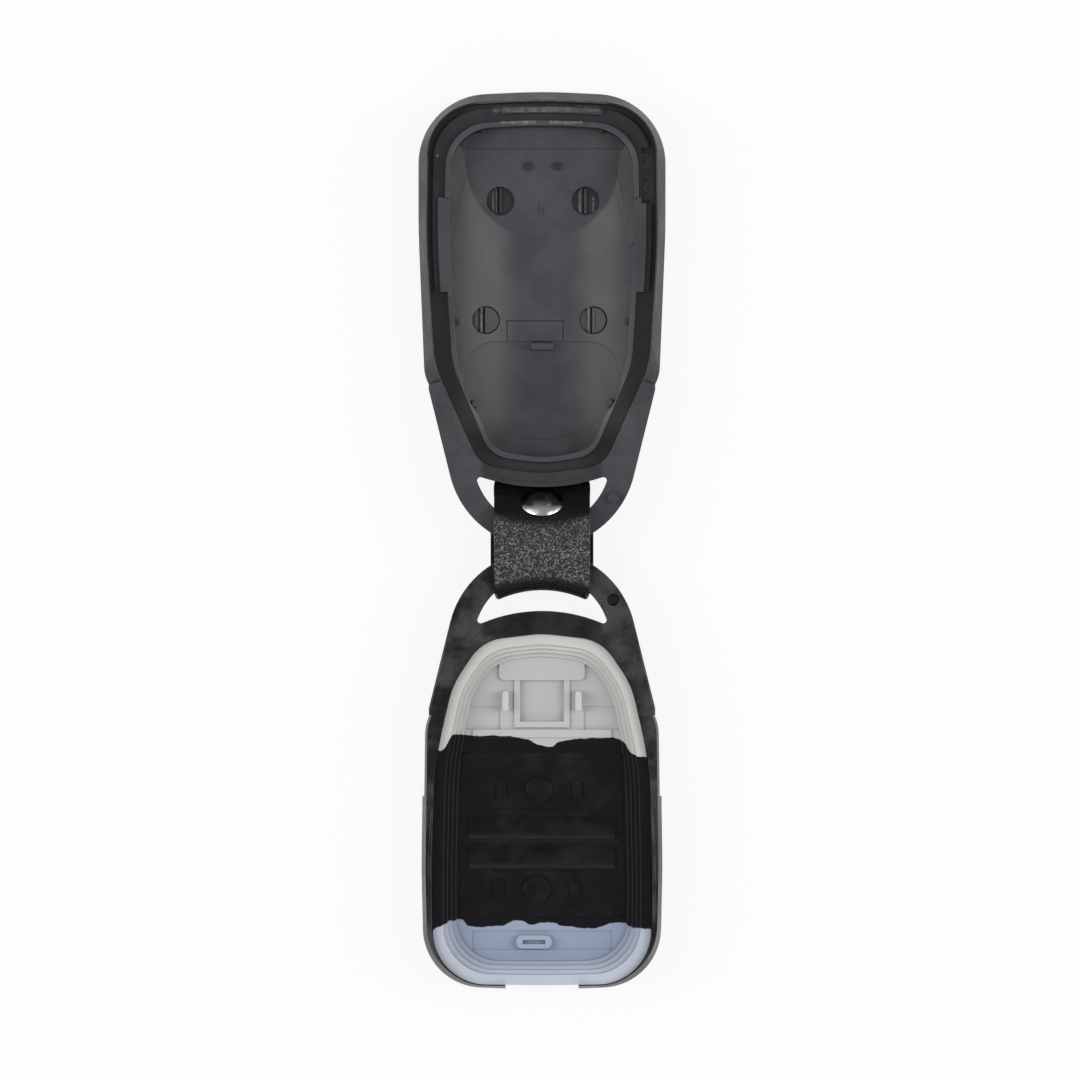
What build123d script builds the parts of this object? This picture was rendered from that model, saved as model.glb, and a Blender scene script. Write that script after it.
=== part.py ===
from build123d import *
from math import cos, radians, sin, tan
import os

# Key fob shell, laid open with both inner sides up, in millimetres.
# X runs across the shell, +Y from the fold line along the rear cover, +Z up from the table.
# The two covers meet at the fold line, Y = 0, where the rear cover's loop and the front cover's loop touch.

# Heights above the table
fold_z = 6.5
mating_gap = 0.1
rim_z = fold_z - mating_gap / 2
loop_thickness = 3.0

# Key-ring loops, alike on both covers so that they stack when the shell is closed
loop_radius = 14.2
loop_tip_gap = 0.3
shoulder_y = 24.9
shoulder_half_width = 17.0
shoulder_length = 1.0
opening_radius = 10.3
opening_corner_x = 10.0
opening_corner_radius = 0.5
rear_bar_width = 3.1
front_bar_width = 3.6
body_end_y = 9.3
loop_edge_radius = 0.35
arm_step_y = 14.3
arm_step_depth = 0.12

# Rear cover: groove line, which every other line of the rim is offset from
rear_half_width = 17.3
rear_waist_taper = 1.2
rear_waist_half_width = rear_half_width - rear_waist_taper
rear_waist_y = 27.6
rear_widest_y = 46.0
rear_end_y = 67.3
rear_end_drop = 0.9
rear_end_taper = 0.3
rear_end_bow = 90.0
rear_end_corner_radius = 8.0
rear_side_bow = 120.0
rear_waist_radius = 14.0
rear_loop_corner = (9.3, 12.5)
rear_loop_corner_share = 0.6
rear_loop_corner_radius = 4.5
rear_loop_bow = 18.0
rear_loop_end_y = 11.25
rear_rim_width = 0.2
rear_loop_inset = 0.4

# Rear cover: outer wall, which flares outwards below its rim
rear_flare = 1.3
rear_end_flare = 1.6
rear_waist_flare = 1.6
rear_loop_flare = 0.8
rear_flare_height = 3.4
rear_shell_corner_radius = 10.5
rear_shell_waist_radius = 6.0
rear_shell_widest_y = 48.0
waist_above_shoulder = 1.1
rear_bottom_radius = 2.4
rear_floor_thickness = 1.3
groove_width = 0.75
groove_depth = 2.0
outer_ledge_width = 0.85
outer_ledge_depth = 1.4
inner_ledge_width = 1.8
inner_ledge_depth = 0.8
loop_ledge_width = 0.7
end_ledge_width = 1.95
rib_width = 0.75
upper_rib_height = 0.5
upper_rib_y = 52.8
lower_groove_y = 38.6
end_band_half_width = 10.0
end_band_depth = 0.25
end_tab = (-6.0, 9.0)
end_tab_height = 0.5
pocket_x = 15.7
pocket_y = 56.1
pocket_width = 1.6
pocket_length = 8.4
pocket_depth = 0.6
loop_band_half_width = 6.2
loop_band_width = 0.75
loop_band_depth = 0.3
loop_band_radius = 29.0

# Outer faces: a flat middle to rest on, rising in a curve to each side
rest_half_width = 7.5
crown_radius = 30.0
crown_sweep = 36.0
bottom_edge_z = 2.6

# Rear cover: cavity floor, a trough along Y that ends in a slope at each end
floor_radius = 60.0
floor_sweep = 20.0
floor_slope_y = 47.0
floor_slope = 7.0
loop_slope_y = 19.0
loop_slope = 8.0
slope_foot_drop = 0.01
end_shelf_y = 60.3
end_shelf_height = 0.35
side_slope_y = (46.0, 55.5)
side_slope_reach = (0.7, 2.5)
side_slope_height = (0.6, 2.2)

# Rear cover: features on the cavity floor
pin_mark_radius = 2.1
pin_mark_depth = 0.45
pin_rib_width = 0.35
pin_rib_length = 3.8
pin_rib_offset = 0.3
upper_pin_marks = ((-6.3, 52.5), (6.55, 52.5))
lower_pin_marks = ((-8.45, 34.5), (7.75, 34.5))
lug_width = 3.3
lug_length = 0.9
lug_height = 1.6
lug_y = 30.5
battery_recess_depth = 0.2
battery_recess_half_width = 11.9
battery_recess_top_y = 31.3
battery_recess_middle_y = 26.0
battery_recess_end_y = 16.5
battery_recess_corner = 5.0
label_outline = (-5.35, 3.3, 31.2, 34.5)
label_line_width = 0.18
label_line_depth = 0.12
end_rib_x = 8.9
end_rib_y = 63.3
end_rib_width = 0.6
end_rib_length = 1.4
end_rib_z = 5.0
wall_rib_x = 13.05
wall_rib_y = 34.2
wall_rib_width = 1.4
wall_rib_length = 0.6
wall_rib_z = 4.6
numeral_x = -0.1
numeral_y = 51.6
numeral_length = 1.9
numeral_stroke = 0.3
numeral_flag_y = 52.35
numeral_height = 0.15
pip_radius = 0.55
pip_height = 0.5
floor_pips = ((-2.1, 57.6), (2.25, 57.6), (-10.0, 21.9), (10.1, 22.1), (0, 15.3))

# Peg on the rear loop and its socket in the front loop
peg_x = 10.7
peg_y = 7.6
peg_radius = 0.8
peg_height = 1.0
peg_clearance = 0.15

# Front cover: button pad seat, which the pad and the window are offset from
seat_corner = (8.9, 13.75)
seat_shoulder = (13.4, 20.4)
seat_wall = 0.85
seat_half_width = rear_half_width - seat_wall
seat_waist_taper = 0.35
seat_waist = (seat_half_width - seat_waist_taper, 32.0)
seat_widest_y = 50.0
seat_top_y = 12.7
seat_end_y = 65.5
seat_end_taper = (0.15, 0.2)
seat_end_bow = 200.0
seat_end_corner_radius = 8.0
seat_side_bow = 150.0
seat_waist_radius = 50.0
seat_shoulder_radius = 13.0
seat_corner_radius = 6.5
seat_top_bow = 14.0
seat_shoulder_share = (0.9, 0.3)
seat_corner_share = (0.6, 0.92)
front_overhang = 0.2
front_half_width = rear_half_width + front_overhang
front_waist_taper = 0.3
front_waist_half_width = front_half_width - front_waist_taper
front_widest_y = 48.0
front_end_y = 65.75
front_end_taper = (0.4, 0.7)
front_end_bow = 150.0
front_end_corner_radius = 9.0
front_side_bow = 120.0
front_waist_radius = 8.0
front_loop_corner = (9.6, 12.2)
front_loop_corner_share = 0.3
front_loop_corner_radius = 4.0
front_loop_bow = 20.0
front_loop_end_y = 10.0
front_step_y = 37.2
front_step_depth = 0.3
front_flare = 0.65
front_flare_height = 3.4
front_bottom_radius = 2.4
ledge_z = 4.3
window_inset = 1.55
end_notch_width = 11.0
lip_width = 0.4
lip_height = 0.6
lip_start_y = 39.0
lip_end_y = 56.0
lip_clearance = 0.17

# Button pad
pad_clearance = 0.1
flange_thickness = 1.3
pad_face_z = 0.6
step_count = 4
step_width = 0.62
pad_floor_z = 2.3
pad_edge_radius = 0.3
recess_width = 6.6
recess_length = 6.35
recess_centre_y = -22.8
recess_border = 0.9
recess_border_height = 0.3
recess_depth = 0.5
plateau_y = (-15.0, -19.8)
plateau_half_width = 6.45
plateau_height = 0.45
plateau_corner_radius = 0.8
side_hollow_x = 6.3
side_hollow_y = (-27.2, -23.7)
side_hollow_depth = 0.2
band_y = (-27.2, -28.4)
band_half_width = 10.45
band_height = 0.25
end_hollow_half_width = 10.5
end_hollow_y = (-57.5, -60.4)
end_hollow_depth = 0.2
clip_x = 5.5
clip_y = -22.9
clip_width = 1.0
clip_corner_radius = 0.4
clip_length = 3.0
clip_height = 1.5
slot_x = -1.2
slot_y = -59.2
slot_collar_width = 5.4
slot_collar_length = 2.0
slot_collar_corner_radius = 0.9
slot_width = 3.4
slot_length = 0.6
slot_collar_height = 0.6

# Keys in the middle of the pad
key_border = 0.4
key_corner_radius = 0.5
key_gap = 0.15
key_overlap = 0.7
key_shelf_z = 1.4
key_seat_gap = 0.05
key_face_z = 0.5
key_split_y = -44.1
lock_key_start_y = -30.6
unlock_key_end_y = -55.4
boss_radius = 2.0
boss_height = 0.6
boss_edge_radius = 0.15
lock_boss = (-0.45, -36.3)
unlock_boss = (-0.8, -51.3)
side_rib_x = 5.7
side_rib_width = 1.2
side_rib_length = 2.6
side_rib_height = 0.5
ridge_width = 3.6
ridge_half_length = 11.0
ridge_height = 0.45
ridge_from_split = 2.2
line_half_length = 6.6
line_width = 0.4
line_depth = 0.2
line_from_boss = 2.9

# Strap, a belt through both loops whose flap is snapped over its other end
strap_width = 14.4
strap_thickness = 0.85
strap_top_gap = 0.15
strap_lower_z = 1.55
strap_front_y = -6.2
strap_side_bow = 2.0
snap_angle = 50.0
snap_y = 6.72
snap_z = 6.3
flap_rise = 3.7
flap_bend_radius = 1.6
flap_end_y = 8.8
flap_end_z = 1.9
flap_end_bow = 0.85
flap_end_radius = 0.8
tuck_overhang = 2.7
snap_gap = 0.95
tongue_half_width = 3.3
tongue_root = 0.3
bar_bend_y = 1.2
bar_bend_radius = 3.0
roll_radius = 1.6
tuck_radius = 1.0

# Snap fastener
cap_radius = 3.2
cap_height = 1.1
cap_shoulder = (0.62, 0.8)
socket_radius = 2.2
socket_height = 0.75
socket_web = 0.2
socket_floor = 0.55
socket_edge_radius = 0.25
stud_radius = 1.1
stud_height = 0.45
stud_base_radius = 2.0
stud_base_thickness = 0.15
stud_edge_radius = 0.2
snap_barrel_radius = 0.65
snap_clearance = 0.05
post_radius = 1.6
post_thickness = 0.25
post_hole_radius = 0.75


def save(part, name):
    part.label = name
    export_step(part, f"parts/{name}.step")


def closed_outline(half, radii):
    """Closed line through the points on the +X side and their mirror images, rounded at every corner."""
    mirrored = [(-x, y) for x, y in reversed(half[1:-1])]
    FilletPolyline(*half, *mirrored, radius=radii + list(reversed(radii[1:-1])), close=True)


def rear_outline(side=0.0, loop=0.0, end=0.0):
    """Rear cover's groove line, moved inwards at its sides, its loop end and its far end."""
    corner_x, corner_y = rear_loop_corner
    half = [
        (0, rear_end_y - end),
        (rear_half_width - rear_end_taper - side, rear_end_y - rear_end_drop - end),
        (rear_half_width - side, rear_widest_y),
        (rear_waist_half_width - side, rear_waist_y),
        (corner_x - rear_loop_corner_share * side, corner_y + loop),
        (0, rear_loop_end_y + loop),
    ]
    end_corner_radius = rear_end_corner_radius - side / 2
    loop_radii = [rear_waist_radius, rear_loop_corner_radius, rear_loop_bow]
    closed_outline(half, [rear_end_bow, end_corner_radius, rear_side_bow] + loop_radii)


def rear_shell_outline():
    """Rear cover's widest line, at the foot of its flared wall."""
    corner_x, corner_y = rear_loop_corner
    half = [
        (0, rear_end_y + rear_end_flare),
        (rear_half_width + rear_flare, rear_end_y - rear_end_drop + rear_end_flare),
        (rear_half_width + rear_flare, rear_shell_widest_y),
        (rear_waist_half_width + rear_waist_flare, shoulder_y + waist_above_shoulder),
        (corner_x + rear_loop_flare, corner_y - rear_loop_flare),
        (0, rear_loop_end_y - rear_loop_flare),
    ]
    loop_radii = [rear_shell_waist_radius, rear_loop_corner_radius, rear_loop_bow]
    closed_outline(half, [rear_end_bow, rear_shell_corner_radius, rear_side_bow] + loop_radii)


def moved_in(corner, share, inset):
    """Corner of the front cover's outline, moved inwards by its own share of the inset."""
    return (corner[0] - share[0] * inset, -corner[1] - share[1] * inset)


def seat_outline(inset=0.0):
    """Button pad's outline on the front cover, moved inwards."""
    half = [
        (0, -seat_end_y + inset),
        (seat_half_width - seat_end_taper[0] - inset, -seat_end_y + seat_end_taper[1] + inset),
        (seat_half_width - inset, -seat_widest_y),
        (seat_waist[0] - inset, -seat_waist[1]),
        moved_in(seat_shoulder, seat_shoulder_share, inset),
        moved_in(seat_corner, seat_corner_share, inset),
        (0, -seat_top_y - inset),
    ]
    end_radii = [seat_end_bow, seat_end_corner_radius - inset / 2, seat_side_bow]
    loop_radii = [seat_waist_radius, seat_shoulder_radius, seat_corner_radius, seat_top_bow]
    closed_outline(half, end_radii + loop_radii)


def front_outline(grow=0.0):
    """Front cover's rim line, moved outwards."""
    corner_x, corner_y = front_loop_corner
    half = [
        (0, -front_end_y - grow),
        (front_half_width - front_end_taper[0] + grow, -front_end_y + front_end_taper[1] - grow),
        (front_half_width + grow, -front_widest_y),
        (front_waist_half_width + grow, -shoulder_y - waist_above_shoulder),
        (corner_x + grow, -corner_y + front_loop_corner_share * grow),
        (0, -front_loop_end_y),
    ]
    end_radii = [front_end_bow, front_end_corner_radius, front_side_bow]
    closed_outline(half, end_radii + [front_waist_radius, front_loop_corner_radius, front_loop_bow])


def prism(outline, sizes, low, high, band=None):
    """Upright solid over an outline, from one height to another, kept between two Y values if given."""
    with BuildPart() as solid:
        with BuildSketch(Plane.XY.offset(low)):
            with BuildLine():
                outline(*sizes)
            make_face()
            if band:
                with Locations((0, (band[0] + band[1]) / 2)):
                    Rectangle(4 * rear_half_width, band[1] - band[0], mode=Mode.INTERSECT)
        extrude(amount=high - low)
    return solid.part


def ring(outline, outer, inner, low, high, band=None):
    """Upright wall between two sizes of an outline."""
    with BuildPart() as wall:
        add(prism(outline, outer, low, high, band))
        add(prism(outline, inner, low, high), mode=Mode.SUBTRACT)
    return wall.part


def above_crown():
    """Space above the covers' outer faces, which are flat in the middle and curve up at the sides."""
    with BuildPart() as space:
        with BuildSketch(Plane.XZ):
            with BuildLine():
                Line((-rest_half_width, 0), (rest_half_width, 0))
                right = CenterArc((rest_half_width, crown_radius), crown_radius, -90, crown_sweep)
                left = CenterArc((-rest_half_width, crown_radius), crown_radius, -90, -crown_sweep)
                edge_x = (right @ 1).X
                Polyline(right @ 1, (edge_x, 3 * fold_z), (-edge_x, 3 * fold_z), left @ 1)
            make_face()
        extrude(amount=2 * rear_end_y, both=True)
    return space.part


def above_floor(drop=0.0, slope_y=loop_slope_y):
    """Space above the rear cavity's floor: a trough along Y, cut by a slope at each end and a flat shelf."""
    low = rear_floor_thickness - drop
    top = 3 * fold_z
    shelf_z = low + (end_shelf_y - floor_slope_y) * tan(radians(floor_slope)) + end_shelf_height
    with BuildPart() as space:
        with BuildSketch(Plane.XZ):
            with BuildLine():
                left = CenterArc((0, low + floor_radius), floor_radius, -90, -floor_sweep)
                right = CenterArc((0, low + floor_radius), floor_radius, -90, floor_sweep)
                Polyline(right @ 1, ((right @ 1).X, top), ((left @ 1).X, top), left @ 1)
            make_face()
        extrude(amount=-2 * rear_end_y)
        with BuildSketch(Plane.YZ):
            with BuildLine():
                Polyline(
                    (0, low + slope_y * tan(radians(loop_slope))),
                    (slope_y, low - slope_foot_drop),
                    (floor_slope_y, low - slope_foot_drop),
                    (end_shelf_y, shelf_z - end_shelf_height),
                    (end_shelf_y, shelf_z),
                    (2 * rear_end_y, shelf_z),
                    (2 * rear_end_y, top),
                    (0, top),
                    close=True,
                )
            make_face()
        extrude(amount=2 * rear_half_width, both=True, mode=Mode.INTERSECT)
    return space.part


def floor_z(x, y):
    """Height of the rear cavity's floor."""
    trough = rear_floor_thickness + floor_radius - (floor_radius**2 - x**2) ** 0.5
    slope = rear_floor_thickness + max(0, y - floor_slope_y) * tan(radians(floor_slope))
    return max(trough, slope)


def loop_plate(direction, bar_width):
    """Flat key-ring loop of one cover: a round end that runs tangent into the cover's shoulders."""
    opening_y = loop_tip_gap / 2 + bar_width + opening_radius
    corner_y = opening_y - (opening_radius**2 - opening_corner_x**2) ** 0.5
    left = (-opening_corner_x, direction * corner_y)
    right = (opening_corner_x, direction * corner_y)
    with BuildSketch(Plane.XY.offset(rim_z - loop_thickness)) as opening:
        with BuildLine():
            ThreePointArc(left, (0, direction * body_end_y), right)
            ThreePointArc(right, (0, direction * (loop_tip_gap / 2 + bar_width)), left)
        make_face()
        fillet(opening.vertices(), opening_corner_radius)
    with BuildPart() as plate:
        with BuildSketch(Plane.XY.offset(rim_z - loop_thickness)):
            with Locations((0, direction * (loop_tip_gap / 2 + loop_radius))):
                Circle(loop_radius)
            with Locations((0, direction * (shoulder_y - shoulder_length / 2))):
                Rectangle(2 * shoulder_half_width, shoulder_length)
            make_hull()
            add(opening.sketch_local, mode=Mode.SUBTRACT)
        extrude(amount=loop_thickness)
        fillet(plate.edges().filter_by(Plane.XY), loop_edge_radius)
        with Locations((0, direction * arm_step_y / 2, rim_z - arm_step_depth)):
            Box(4 * loop_radius, arm_step_y, loop_thickness, align=standing, mode=Mode.SUBTRACT)
    return plate.part


def key_half_width(y):
    """Half the width of the key area, which widens evenly along the pad between its walls."""
    narrow = seat_waist[0] - floor_inset - key_border
    wide = seat_half_width - floor_inset - key_border
    return narrow + (wide - narrow) * (y - lock_key_start_y) / (unlock_key_end_y - lock_key_start_y)


def key_sketch(inset, start_y, end_y):
    """Plan of the key area between two Y values, moved inwards at its sides."""
    with BuildSketch() as plan:
        with BuildLine():
            start_x = key_half_width(start_y) - inset
            end_x = key_half_width(end_y) - inset
            Polyline((-start_x, start_y), (start_x, start_y), (end_x, end_y), (-end_x, end_y), close=True)
        make_face()
        fillet(plan.vertices(), key_corner_radius)
    return plan.sketch


def engraved(plan, depth, slope_y=loop_slope_y):
    """Space over a plan, down to a depth below the rear cavity's floor."""
    with BuildPart() as space:
        add(plan)
        extrude(amount=fold_z)
        add(above_floor(depth, slope_y), mode=Mode.INTERSECT)
    return space.part


def battery_plan():
    """Coin-shaped plan, flat at its top and round at its loop end."""
    with BuildSketch() as plan:
        with Locations((0, battery_recess_middle_y)):
            Ellipse(battery_recess_half_width, battery_recess_middle_y - battery_recess_end_y)
        with Locations((0, (battery_recess_middle_y + battery_recess_top_y) / 2)):
            Rectangle(2 * battery_recess_half_width, battery_recess_top_y - battery_recess_middle_y)
        with Locations((0, battery_recess_top_y)):
            Rectangle(2 * battery_recess_half_width, rear_end_y, align=above, mode=Mode.SUBTRACT)
        fillet(plan.vertices().sort_by(Axis.Y)[-2:], battery_recess_corner)
    return plan.sketch


def label_plan():
    """Fine rectangular outline in the middle of the cavity floor."""
    low_x, high_x, low_y, high_y = label_outline
    with BuildSketch() as plan:
        with Locations(((low_x + high_x) / 2, (low_y + high_y) / 2)):
            Rectangle(high_x - low_x, high_y - low_y)
            Rectangle(
                high_x - low_x - 2 * label_line_width,
                high_y - low_y - 2 * label_line_width,
                mode=Mode.SUBTRACT,
            )
    return plan.sketch


def side_slope_section(y, reach, height):
    """Section of the slope at the foot of the cavity's +X wall, reaching in from it."""
    wall_x = rear_half_width - cavity[0]
    foot_x = wall_x - reach
    foot_z = floor_z(foot_x, 0)
    with BuildSketch(Plane.XZ.offset(-y)) as section:
        with BuildLine():
            Polyline(
                (foot_x, rear_floor_thickness / 2),
                (foot_x, foot_z),
                (wall_x, foot_z + height),
                (wall_x, rear_floor_thickness / 2),
                close=True,
            )
        make_face()
    return section.sketch


def side_slopes():
    """Sloping feet of the cavity's side walls, which widen towards the far end and then run on."""
    high_y = side_slope_y[1]
    with BuildPart() as slope:
        for y, reach, height in zip(side_slope_y, side_slope_reach, side_slope_height):
            add(side_slope_section(y, reach, height))
        loft(ruled=True)
        add(side_slope_section(high_y, side_slope_reach[1], side_slope_height[1]))
        extrude(amount=rear_end_y - high_y, dir=(0, 1, 0))
        add(prism(rear_outline, cavity, 0, rim_z), mode=Mode.INTERSECT)
        mirror(about=Plane.YZ)
    return slope.part


standing = (Align.CENTER, Align.CENTER, Align.MIN)
above = (Align.CENTER, Align.MIN)
flange_top_z = ledge_z + flange_thickness
step_height = (flange_top_z - pad_floor_z) / step_count
floor_inset = window_inset + (step_count - 1) * step_width
key_spans = (
    (lock_key_start_y, key_split_y),
    (key_split_y, unlock_key_end_y),
)

# Insets of the rear rim's steps from the groove line, at the sides, the loop end and the far end
groove = (groove_width,) * 3
outer_ledge = (groove_width + outer_ledge_width,) * 3
cavity = (
    outer_ledge[0] + inner_ledge_width,
    outer_ledge[1] + loop_ledge_width,
    outer_ledge[2] + end_ledge_width,
)
rib = tuple(size - rib_width for size in cavity)
rim = (-rear_rim_width, rear_loop_inset, -rear_rim_width)
ledge_top = rim_z - inner_ledge_depth
outer_ledge_top = rim_z - outer_ledge_depth

# Rear cover: a tray with a flared wall, its loop, and the stepped rim that takes the front cover
with BuildPart() as rear_cover:
    with BuildSketch(Plane.XY.offset(rim_z)):
        with BuildLine():
            rear_outline(*rim)
        make_face()
    with BuildSketch(Plane.XY.offset(rim_z - rear_flare_height)):
        with BuildLine():
            rear_shell_outline()
        make_face()
    loft(ruled=True)
    add(prism(rear_shell_outline, (), 0, rim_z - rear_flare_height))
    add(above_crown(), mode=Mode.INTERSECT)
    bottom = rear_cover.edges().filter_by(Axis.Y, reverse=True).filter_by_position(Axis.Z, -1, bottom_edge_z)
    fillet(bottom, rear_bottom_radius)
    add(loop_plate(1, rear_bar_width))
    add(prism(rear_outline, (0, 0, 0), ledge_top, rim_z), mode=Mode.SUBTRACT)
    add(ring(rear_outline, (0, 0, 0), outer_ledge, outer_ledge_top, rim_z), mode=Mode.SUBTRACT)
    add(ring(rear_outline, (0, 0, 0), groove, rim_z - groove_depth, rim_z), mode=Mode.SUBTRACT)
    lower_band = (0, lower_groove_y)
    add(ring(rear_outline, groove, rib, rim_z - groove_depth, rim_z, lower_band), mode=Mode.SUBTRACT)
    upper_band = (upper_rib_y, 2 * rear_end_y)
    add(ring(rear_outline, outer_ledge, rib, outer_ledge_top, rim_z, upper_band), mode=Mode.SUBTRACT)
    add(ring(rear_outline, rib, cavity, ledge_top, ledge_top + upper_rib_height, upper_band))
    with BuildPart(mode=Mode.PRIVATE) as trough:
        add(prism(rear_outline, cavity, 0, rim_z))
        add(above_floor(), mode=Mode.INTERSECT)
    add(trough.part, mode=Mode.SUBTRACT)
    add(side_slopes())
    add(engraved(battery_plan(), battery_recess_depth, battery_recess_end_y), mode=Mode.SUBTRACT)
    add(engraved(label_plan(), label_line_depth), mode=Mode.SUBTRACT)
    with Locations((0, rear_end_y, rim_z - end_band_depth)):
        Box(2 * end_band_half_width, 4 * rear_end_flare, fold_z, align=standing, mode=Mode.SUBTRACT)
    with BuildPart(mode=Mode.PRIVATE) as tab:
        tab_z = (outer_ledge_top - end_tab_height, outer_ledge_top + end_tab_height)
        add(ring(rear_outline, groove, outer_ledge, *tab_z))
        with Locations((sum(end_tab) / 2, rear_end_y)):
            Box(end_tab[1] - end_tab[0], 4 * rear_end_flare, 4 * fold_z, mode=Mode.INTERSECT)
    add(tab.part)
    with Locations((pocket_x, pocket_y, outer_ledge_top - pocket_depth)):
        Box(pocket_width, pocket_length, fold_z, align=standing, mode=Mode.SUBTRACT)
    with BuildPart(mode=Mode.PRIVATE) as loop_band:
        with BuildSketch(Plane.XY.offset(rim_z - loop_band_depth)):
            with Locations((0, body_end_y + loop_band_radius)):
                Circle(loop_band_radius)
                Circle(loop_band_radius - loop_band_width, mode=Mode.SUBTRACT)
            with Locations((0, body_end_y)):
                Rectangle(2 * loop_band_half_width, 4 * loop_band_width, mode=Mode.INTERSECT)
        extrude(amount=fold_z)
    add(loop_band.part, mode=Mode.SUBTRACT)
    for side in (-1, 1):
        with Locations((side * end_rib_x, end_rib_y, rear_floor_thickness)):
            Box(end_rib_width, end_rib_length, end_rib_z - rear_floor_thickness, align=standing)
        with Locations((side * wall_rib_x, wall_rib_y, rear_floor_thickness)):
            Box(wall_rib_width, wall_rib_length, wall_rib_z - rear_floor_thickness, align=standing)
    for x, y in upper_pin_marks + lower_pin_marks:
        with Locations((x, y, floor_z(x, y) - pin_mark_depth)):
            Cylinder(pin_mark_radius, fold_z, align=standing, mode=Mode.SUBTRACT)
        for side in (-1, 1):
            with Locations((x - pin_rib_offset + side * pin_rib_width, y, rear_floor_thickness / 2)):
                Box(pin_rib_width, pin_rib_length, floor_z(x, y) - rear_floor_thickness / 2, align=standing)
    for x, y in lower_pin_marks:
        with Locations((x, y, floor_z(x, y) - pin_mark_depth - label_line_depth)):
            right_half = (0, 0, -90)
            Cylinder(
                pin_mark_radius - label_line_width,
                pin_mark_depth,
                arc_size=180,
                rotation=right_half,
                align=None,
            )
    with Locations((0, lug_y, rear_floor_thickness / 2)):
        Box(lug_width, lug_length, rear_floor_thickness / 2 + lug_height, align=standing)
    for x, y in floor_pips:
        with Locations((x, y, rear_floor_thickness / 2)):
            Cylinder(pip_radius, floor_z(x, y) + pip_height - rear_floor_thickness / 2, align=standing)
    numeral_rise = floor_z(numeral_x, numeral_y) + numeral_height - rear_floor_thickness / 2
    with Locations((numeral_x, numeral_y, rear_floor_thickness / 2)):
        Box(numeral_stroke, numeral_length, numeral_rise, align=standing)
    with Locations((numeral_x - numeral_stroke, numeral_flag_y, rear_floor_thickness / 2)):
        Box(numeral_stroke, numeral_stroke, numeral_rise, align=standing)
    with Locations((peg_x, peg_y, rim_z - loop_thickness / 2)):
        Cylinder(peg_radius, peg_height + loop_thickness / 2, align=standing)

# Front cover: a frame round the button pad's window, with its loop and the lips that enter the rear groove
with BuildPart() as front_cover:
    for z, grow in ((rim_z, 0), (rim_z - front_flare_height, front_flare)):
        with BuildSketch(Plane.XY.offset(z)):
            with BuildLine():
                front_outline(grow)
            make_face()
    loft(ruled=True)
    add(prism(front_outline, (front_flare,), 0, rim_z - front_flare_height))
    add(above_crown(), mode=Mode.INTERSECT)
    bottom = front_cover.edges().filter_by(Axis.Y, reverse=True).filter_by_position(Axis.Z, -1, bottom_edge_z)
    fillet(bottom, front_bottom_radius)
    step_band = (-front_step_y, -shoulder_y + waist_above_shoulder)
    step_insets = ((4 * front_flare,), (front_flare - front_step_depth,))
    add(ring(front_outline, *step_insets, 0, rim_z, step_band), mode=Mode.SUBTRACT)
    add(loop_plate(-1, front_bar_width))
    add(prism(seat_outline, (-pad_clearance,), ledge_z, rim_z), mode=Mode.SUBTRACT)
    add(prism(seat_outline, (window_inset - pad_clearance,), 0, rim_z), mode=Mode.SUBTRACT)
    with Locations((0, -seat_end_y - front_flare)):
        Box(end_notch_width, 2 * front_flare, 4 * rim_z, mode=Mode.SUBTRACT)
    lip_inset = groove_width - lip_clearance - lip_width
    with BuildPart(mode=Mode.PRIVATE) as lips:
        outer = (lip_inset, lip_inset, lip_inset)
        inner = (lip_inset + lip_width,) * 3
        add(ring(rear_outline, outer, inner, rim_z - lip_width, rim_z + lip_height, (lip_start_y, lip_end_y)))
    add(mirror(lips.part, about=Plane.XZ, mode=Mode.PRIVATE))
    with Locations((peg_x, -peg_y, rim_z - peg_height - 2 * peg_clearance)):
        Cylinder(peg_radius + peg_clearance, loop_thickness, align=standing, mode=Mode.SUBTRACT)

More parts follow.
